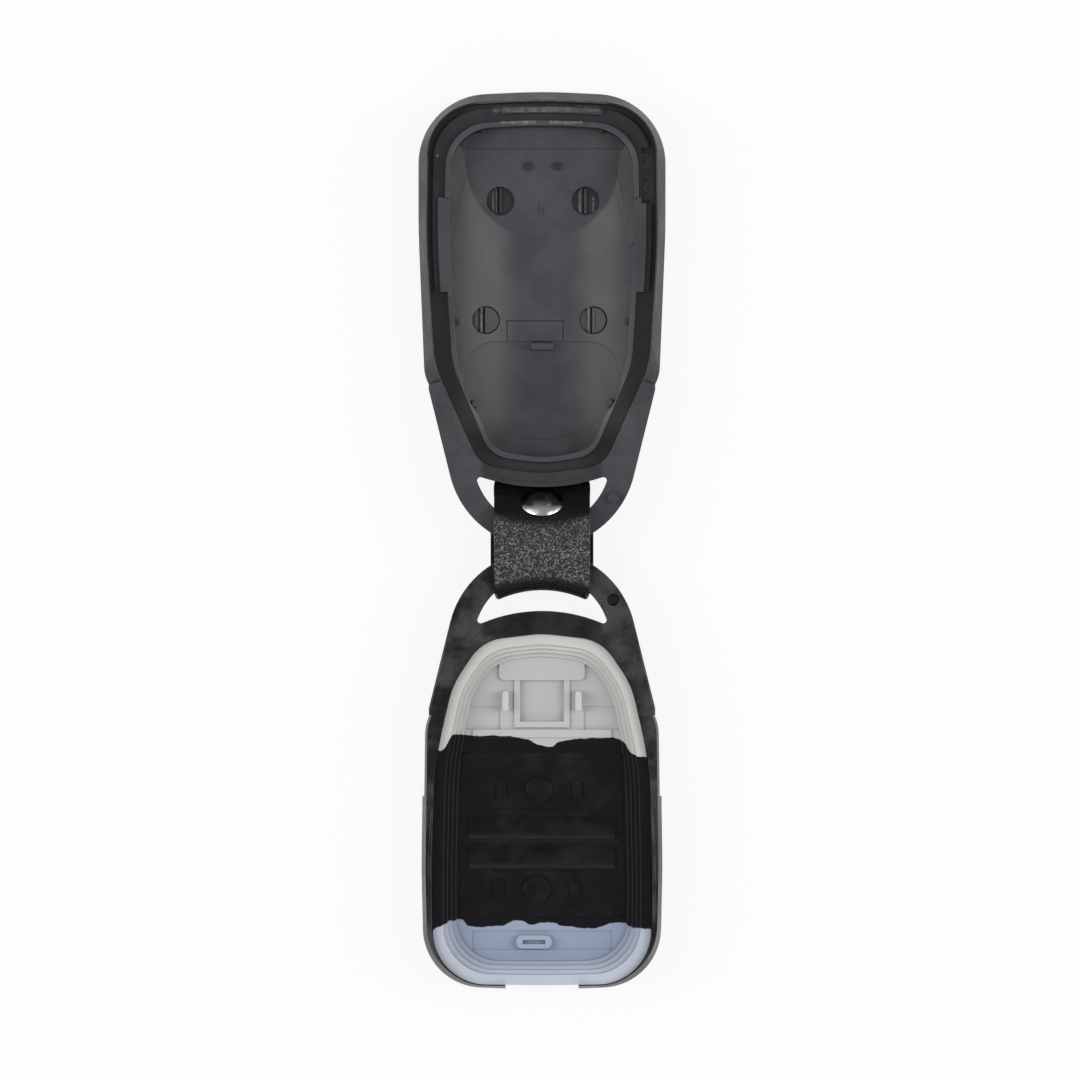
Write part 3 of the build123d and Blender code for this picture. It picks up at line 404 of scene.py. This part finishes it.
def moulded_plastic(name, inside, outside, specks, shaded, height_shade=(), pale_marks=(), floor=None):
    """Black moulded plastic: satin where it faces up into the shell, fine leather-like grain outside."""
    finish = Finish(name)
    facing = finish.add("SeparateXYZ", _0=finish.add("TexCoord").outputs["Normal"]).outputs[2]
    height = finish.axes()[2]
    outer = finish.math("SUBTRACT", 1.0, finish.ramp(facing, 0.35, 0.8), clamp=True)
    rim = finish.ramp(height, *RIM_GRAIN_Z)
    grained = finish.math("MAXIMUM", outer, finish.math("MULTIPLY", rim, 0.35))
    fine = finish.noise(PLASTIC_TEXTURE, detail=3.0)
    grain = finish.math("ADD", finish.cells(PLASTIC_GRAIN), finish.math("MULTIPLY", fine, 0.5))
    softened = finish.softened(PLASTIC_EDGE)
    normal = finish.bump(finish.math("MULTIPLY", grain, grained), 0.6, 0.09 * mm, softened)
    normal = finish.bump(fine, 0.12, 0.03 * mm, normal)

    cloud = finish.noise(PLASTIC_CLOUDS, detail=5.0, roughness=0.6)
    scuff = finish.noise(PLASTIC_SCUFFS, detail=8.0, roughness=0.7)
    tone = finish.math("ADD", finish.math("MULTIPLY", cloud, 0.6), finish.math("MULTIPLY", scuff, 0.4))
    colour = finish.blend_colours(finish.ramp(tone, 0.42, 0.6), *inside)
    # Painted shade by height, deepest in the groove and on the ledges
    if height_shade:
        colour = finish.blend_colours(finish.curve(height, height_shade, 0, 1), REAR_PAINTED_SHADE, colour)
    colour = shade_places(finish, colour, height, shaded)
    if floor:
        colour = floor(finish, colour, facing)
    # Painted glints on raised places
    colour = paint_glints(finish, colour, fine, pale_marks)
    colour = finish.blend_colours(outer, colour, outside)
    # Painted highlights on edges and painted shade in corners
    colour = paint_edge_highlights_and_corner_shade(finish, colour, softened)
    speckle = finish.ramp(finish.noise(PLASTIC_SPECKS, detail=2.0), 0.45, 0.68)
    colour = finish.blend_colours(finish.math("MULTIPLY", grained, speckle), colour, specks)
    finish.set(finish.shader, Base_Color=colour, Normal=normal)
    finish.set(finish.shader, Roughness=finish.ramp(tone, -0.3, 1.7), IOR=PLASTIC_IOR)
    return finish.material


def colour_line(finish, x, points, limits):
    """Y of a line across the pad at each X, from its points."""
    return finish.math("MULTIPLY", finish.curve(x, points, *limits), mm)


def moulded_silicone():
    """Pad in three colours moulded together: warm grey at the loop end, black, pale blue at the far end."""
    finish = Finish("pad_silicone")
    x, y, height = finish.axes()
    waver = finish.math("SUBTRACT", finish.noise(PAD_LINE_WAVER, detail=3.0), 0.5)
    y = finish.math("ADD", y, finish.math("MULTIPLY", waver, LINE_WAVER))
    above = finish.math("SUBTRACT", y, colour_line(finish, x, TOP_COLOUR_LINE, TOP_LINE_RANGE))
    below = finish.math("SUBTRACT", colour_line(finish, x, BOTTOM_COLOUR_LINE, BOTTOM_LINE_RANGE), y)
    top = finish.ramp(above, -TOP_LINE_SOFT, TOP_LINE_SOFT)
    bottom = finish.ramp(below, -BOTTOM_LINE_SOFT, BOTTOM_LINE_SOFT)

    cloud = finish.noise(PAD_CLOUDS, detail=4.0)
    smear = finish.noise(PAD_SMEARS, detail=6.0, roughness=0.65)
    thick = finish.ramp(height, *PAD_TONE_Z)
    warm = finish.blend_colours(thick, WARM_GREY_LOW, finish.blend_colours(cloud, *WARM_GREY))
    cool = finish.blend_colours(thick, PALE_BLUE_LOW, finish.blend_colours(cloud, *PALE_BLUE))
    black = finish.blend_colours(finish.ramp(smear, 0.45, 0.75), *PAD_BLACK)
    colour = finish.blend_colours(bottom, finish.blend_colours(top, black, warm), cool)
    # Painted shade in the pad's corners and hollows
    corner = finish.math("MULTIPLY", finish.ramp(finish.openness(PAD_CORNER_REACH), 0.8, 0.35), 0.45)
    colour = finish.blend_colours(corner, colour, PAD_CORNER_SHADE)

    texture = finish.noise(PAD_TEXTURE, detail=4.0)
    normal = finish.bump(texture, 0.15, 0.05 * mm, finish.softened(PAD_EDGE))
    gloss = finish.math("MULTIPLY_ADD", smear, 0.3, 0.18)
    finish.set(finish.shader, Base_Color=colour, Roughness=gloss, Normal=normal)
    finish.set(finish.shader, Specular_IOR_Level=0.22, Subsurface_Weight=0.06, Subsurface_Scale=0.6 * mm)
    return finish.material


def black_silicone():
    """Keys: black silicone with cloudy polished marks from its mould."""
    finish = Finish("key_silicone")
    smear = finish.noise(KEY_SMEARS, detail=6.0, roughness=0.65)
    colour = finish.blend_colours(finish.ramp(smear, 0.4, 0.8), *KEY_BLACK)
    texture = finish.noise(KEY_TEXTURE, detail=5.0)
    normal = finish.bump(texture, 0.25, 0.08 * mm, finish.softened(KEY_EDGE))
    finish.set(finish.shader, Base_Color=colour, Roughness=finish.ramp(smear, -0.4, 1.5), Normal=normal)
    finish.set(finish.shader, Specular_IOR_Level=0.22)
    return finish.material


def pebbled_leather():
    """Black leather with raised pebbles and paler pebble tops; its front roll, round the snap and its lower
    layer are painted in shade, darker and without the pale tops.
    """
    finish = Finish("strap_leather")
    x, y, z = finish.axes()
    pebbles = finish.cells(LEATHER_PEBBLES)
    creases = finish.noise(LEATHER_CREASES, detail=5.0, roughness=0.6)
    patchiness = finish.noise(LEATHER_PATCHINESS, detail=3.0)
    tops = finish.math("SUBTRACT", 1.0, finish.ramp(pebbles, 0.12, 0.55))
    height = finish.math("ADD", finish.math("MULTIPLY", tops, 0.8), finish.math("MULTIPLY", creases, 0.45))

    # Painted shade: darker outside a lit zone, on the front roll, round the snap under the rear cover's edge
    # and on the lower layer
    bow = finish.math("MULTIPLY", finish.math("POWER", finish.math("ABSOLUTE", x), 2.0), LIT_BOW)
    clear_of_roll_shade = finish.ramp(finish.math("ADD", y, bow), *LIT_FRONT_Y)
    clear_of_snap_shade = finish.ramp(finish.math("SUBTRACT", y, bow), *LIT_SNAP_Y)
    upper = finish.ramp(z, *LIT_Z)
    lit_zone = finish.math("MULTIPLY", finish.math("MULTIPLY", clear_of_roll_shade, clear_of_snap_shade), upper)

    pale_marks = finish.math("MULTIPLY", tops, finish.ramp(creases, 0.3, 0.56))
    patchy = finish.math("ADD", patchiness, 0.45)
    pale_marks = finish.math("MULTIPLY", finish.math("MULTIPLY", pale_marks, lit_zone), patchy, clamp=True)
    lit_or_shaded = finish.blend_colours(lit_zone, LEATHER_SHADED, LEATHER_LIT)
    colour = finish.blend_colours(pale_marks, lit_or_shaded, LEATHER_PALE_TOPS)
    finish.set(finish.shader, Base_Color=colour, Roughness=0.5, Specular_IOR_Level=0.16)
    finish.set(finish.shader, Normal=finish.bump(height, 0.9, 0.15 * mm))
    return finish.material


def nickel_plating(name, bright, roughness, painted_shade=None):
    """Nickel with faint polishing marks. Given a shade colour, the dome is painted in shade but for its low
    edge, which keeps the bright nickel.
    """
    finish = Finish(name)
    marks = finish.noise(POLISHING_MARKS, detail=6.0)
    colour = bright
    # Painted shade on the dome, all but its low edge
    if painted_shade:
        shade_edge_y = finish.math("MULTIPLY_ADD", marks, 0.5 * mm, finish.axes()[1])
        colour = finish.blend_colours(finish.ramp(shade_edge_y, *CAP_SHADE_Y), painted_shade, bright)
    finish.set(finish.shader, Base_Color=colour, Metallic=1.0)
    finish.set(finish.shader, Roughness=finish.ramp(marks, -roughness, 2 - roughness))
    finish.set(finish.shader, Normal=finish.bump(marks, 0.05, 0.02 * mm))
    return finish.material


def dress(node, material):
    """Gives a CAD node its finish."""
    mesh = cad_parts[node].data
    mesh.materials.clear()
    mesh.materials.append(material)


def piece(name, bm, material):
    """A mesh object of this name from a bmesh, with smooth faces and one finish."""
    mesh = bpy.data.meshes.new(name)
    bmesh.ops.recalc_face_normals(bm, faces=bm.faces)
    bm.to_mesh(mesh)
    bm.free()
    mesh.materials.append(material)
    mesh.polygons.foreach_set("use_smooth", [True] * len(mesh.polygons))
    obj = bpy.data.objects.new(name, mesh)
    bpy.context.scene.collection.objects.link(obj)
    return obj


def apply_modifiers(obj):
    """Replaces the object's mesh by what its modifiers make of it."""
    graph = bpy.context.evaluated_depsgraph_get()
    finished = bpy.data.meshes.new_from_object(obj.evaluated_get(graph))
    obj.modifiers.clear()
    obj.data = finished


def edge_row(y, z, half_width, count):
    """A bmesh with one row of edges across X, and that row."""
    bm = bmesh.new()
    grid = bmesh.ops.create_grid(bm, x_segments=count, y_segments=1, size=0.5)
    bmesh.ops.scale(bm, vec=(2 * half_width, 0, 0), verts=grid["verts"])
    bmesh.ops.remove_doubles(bm, verts=bm.verts, dist=1e-7)
    bmesh.ops.translate(bm, vec=(0, y, z), verts=bm.verts)
    return bm, list(bm.edges)


def extrude_run(bm, edges, step, parts):
    """Carries a row of edges straight on, in equal parts, and returns its last row."""
    for _ in range(parts):
        grown = bmesh.ops.extrude_edge_only(bm, edges=edges)["geom"]
        verts = [g for g in grown if isinstance(g, bmesh.types.BMVert)]
        bmesh.ops.translate(bm, vec=step / parts, verts=verts)
        last = set(verts)
        edges = [g for g in grown if isinstance(g, bmesh.types.BMEdge) and set(g.verts) <= last]
    return edges


def spin_turn(bm, edges, centre, angle, parts):
    """Carries a row of edges round a centre, about X, and returns its last row."""
    turned = bmesh.ops.spin(bm, geom=edges, cent=centre, axis=(1, 0, 0), angle=angle, steps=parts)
    return [g for g in turned["geom_last"] if isinstance(g, bmesh.types.BMEdge)]


def lay_along(bm, edges, route, radii, grain):
    """Carries a row of edges along a route of straight runs in the YZ plane, rounded at its corners."""
    here = route[0]
    for corner, beyond, radius in zip(route[1:-1], route[2:], radii):
        ahead = (corner - here).normalized()
        onward = (beyond - corner).normalized()
        angle = Vector((ahead.y, ahead.z)).angle_signed(Vector((onward.y, onward.z)))
        reach = radius * tan(abs(angle) / 2)
        run = (corner - here) - ahead * reach
        edges = extrude_run(bm, edges, run, max(1, round(run.length / grain)))
        side = Vector((0, ahead.z, -ahead.y)) * (1 if angle > 0 else -1)
        start = corner - ahead * reach
        steps = max(3, round(abs(angle) * radius / grain))
        edges = spin_turn(bm, edges, start + side * radius, -angle, steps)
        here = corner + onward * reach
    run = route[-1] - here
    return extrude_run(bm, edges, run, max(1, round(run.length / grain)))


def share(value, start, length):
    """0 up to a start and 1 from a length beyond it, straight between them."""
    return max(0.0, min(1.0, (value - start) / length))


def leather_belt(material):
    """The strap: flap, top over both bars, front roll, lower layer and a tongue that turns up to the snap."""
    along = Vector((0, cos(SNAP_ANGLE), -sin(SNAP_ANGLE)))
    outwards = Vector((0, sin(SNAP_ANGLE), cos(SNAP_ANGLE)))
    tongue_line = SNAP_CENTRE - outwards * LAYER_DISTANCE
    turn_y = tongue_line.y + (tongue_line.z - BELT_LOW_Z) / tan(SNAP_ANGLE)
    lead = TONGUE_RADIUS / tan(SNAP_ANGLE / 2) + TONGUE_LEAD
    route = [
        Vector((0, FLAP_END_Y, FLAP_END_Z)),
        Vector((0, FLAP_END_Y, SNAP_CENTRE.z - (FLAP_END_Y - SNAP_CENTRE.y) * tan(SNAP_ANGLE))),
        SNAP_CENTRE - along * FLAP_RISE,
        Vector((0, BAR_BEND_Y, BELT_TOP_Z)),
        Vector((0, BELT_FRONT_Y, BELT_TOP_Z)),
        Vector((0, BELT_FRONT_Y, BELT_LOW_Z)),
        Vector((0, turn_y - lead, BELT_LOW_Z)),
    ]
    bm, row = edge_row(route[0].y, route[0].z, BELT_WIDTH / 2, BELT_COLUMNS)
    row = lay_along(bm, row, route, BELT_BEND_RADII, BELT_ROW_LENGTH)
    middle = [e for e in row if all(abs(v.co.x) < TONGUE_HALF_WIDTH for v in e.verts)]
    tongue_route = [route[-1], Vector((0, turn_y, BELT_LOW_Z)), tongue_line - along * TONGUE_REACH]
    lay_along(bm, middle, tongue_route, (TONGUE_RADIUS,), BELT_ROW_LENGTH)
    bmesh.ops.remove_doubles(bm, verts=bm.verts, dist=1e-6)
    for vert in bm.verts:
        across = 2 * vert.co.x / BELT_WIDTH
        front = share(-vert.co.y, -ROLL_START_Y, ROLL_LENGTH)
        flap_end = share(vert.co.y, FLAP_FOLD_Y, FLAP_END_Y - FLAP_FOLD_Y)
        vert.co.y += FLAP_END_BOW * across**2 * flap_end - BELT_BOW * across**2 * front
        vert.co.x *= 1 - ROLL_TAPER * front**3
        low = share(-vert.co.z, -LOWER_LAYER_Z, LOWER_LAYER_FADE) * (1 - flap_end)
        if abs(vert.co.x) > TONGUE_HALF_WIDTH:
            vert.co.x *= 1 + 2 * LOWER_LAYER_EXTRA / BELT_WIDTH * low
    belt = piece("leather_belt", bm, material)
    shell = belt.modifiers.new("thickness", "SOLIDIFY")
    shell.thickness = BELT_THICKNESS
    shell.offset = 0
    edge = belt.modifiers.new("edge", "BEVEL")
    edge.width = BELT_EDGE_RADIUS
    edge.segments = 3
    edge.limit_method = "ANGLE"
    apply_modifiers(belt)
    belt.data.polygons.foreach_set("use_smooth", [True] * len(belt.data.polygons))
    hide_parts("strap")
    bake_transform(belt)
    return belt


def light_box(name, place, width, length, watts):
    """A soft rectangular lamp at a place, turned to the origin."""
    lamp = bpy.data.lights.new(name, "AREA")
    lamp.shape = "RECTANGLE"
    lamp.size = width
    lamp.size_y = length
    lamp.energy = watts
    obj = bpy.data.objects.new(name, lamp)
    obj.location = place
    obj.rotation_euler = (Vector() - Vector(place)).to_track_quat("-Z", "Y").to_euler()
    bpy.context.scene.collection.objects.link(obj)


def white_background():
    """World that is white to the camera and gives the object only a little light."""
    world = bpy.data.worlds.new("studio")
    world.use_nodes = True
    nodes = world.node_tree.nodes
    links = world.node_tree.links
    backdrop = nodes["Background"]
    backdrop.inputs["Color"].default_value = (1, 1, 1, 1)
    strength = nodes.new("ShaderNodeMapRange")
    strength.inputs["To Min"].default_value = BACKGROUND_LIGHT
    links.new(nodes.new("ShaderNodeLightPath").outputs["Is Camera Ray"], strength.inputs["Value"])
    links.new(strength.outputs[0], backdrop.inputs["Strength"])
    bpy.context.scene.world = world


def white_table():
    """Table that looks white to the camera and in reflections, and still takes the object's shadow."""
    table = Finish("table")
    path = table.add("LightPath").outputs
    seen = table.math("MAXIMUM", path["Is Camera Ray"], path["Is Glossy Ray"])
    glow = table.add("Emission", Color=(1, 1, 1, 1), Strength=1.0)
    plain = table.add("BsdfDiffuse", Color=(0.8, 0.8, 0.8, 1))
    glow_share = table.math("MULTIPLY", seen, TABLE_GLOW)
    mix = table.add("MixShader", _0=glow_share, _1=plain.outputs[0], _2=glow.outputs[0])
    table.links.new(mix.outputs[0], table.nodes["Material Output"].inputs["Surface"])
    bm = bmesh.new()
    bmesh.ops.create_grid(bm, x_segments=1, y_segments=1, size=TABLE_HALF_SIZE)
    piece("table", bm, table.material)


def studio():
    """White table and background, low soft boxes all round and a small lamp overhead."""
    bpy.context.scene.view_settings.view_transform = "Standard"
    white_background()
    white_table()
    for box in LIGHT_BOXES:
        light_box(*box)


def overhead_camera():
    """A camera straight above the rim's plane, with the photograph's framing."""
    lens = bpy.data.cameras.new("camera")
    lens.sensor_fit = "VERTICAL"
    lens.sensor_height = 24
    lens.angle_y = 2 * atan(SEEN_LENGTH / 2 / (CAMERA_HEIGHT - RIM_Z))
    camera = bpy.data.objects.new("camera", lens)
    camera.location = (CAMERA_CENTRE.x, CAMERA_CENTRE.y, CAMERA_HEIGHT)
    bpy.context.scene.collection.objects.link(camera)
    bpy.context.scene.camera = camera


rear_plastic = moulded_plastic(
    "rear_plastic", REAR_INSIDE, REAR_OUTSIDE, REAR_SPECKS, REAR_SHADE, REAR_HEIGHT_SHADE, REAR_GLINTS, rear_floor)
front_plastic = moulded_plastic("front_plastic", FRONT_INSIDE, FRONT_OUTSIDE, FRONT_SPECKS, FRONT_SHADE)
dress("rear_cover", rear_plastic)
dress("front_cover", front_plastic)
dress("button_pad", moulded_silicone())
keys = black_silicone()
dress("lock_key", keys)
dress("unlock_key", keys)
dress("snap_cap", nickel_plating("dark_nickel", CAP_NICKEL, CAP_ROUGHNESS, CAP_PAINTED_SHADE))
nickel = nickel_plating("nickel", INNER_NICKEL, INNER_ROUGHNESS)
for node in ("snap_socket", "snap_stud", "snap_post"):
    dress(node, nickel)
leather_belt(pebbled_leather())

studio()
overhead_camera()
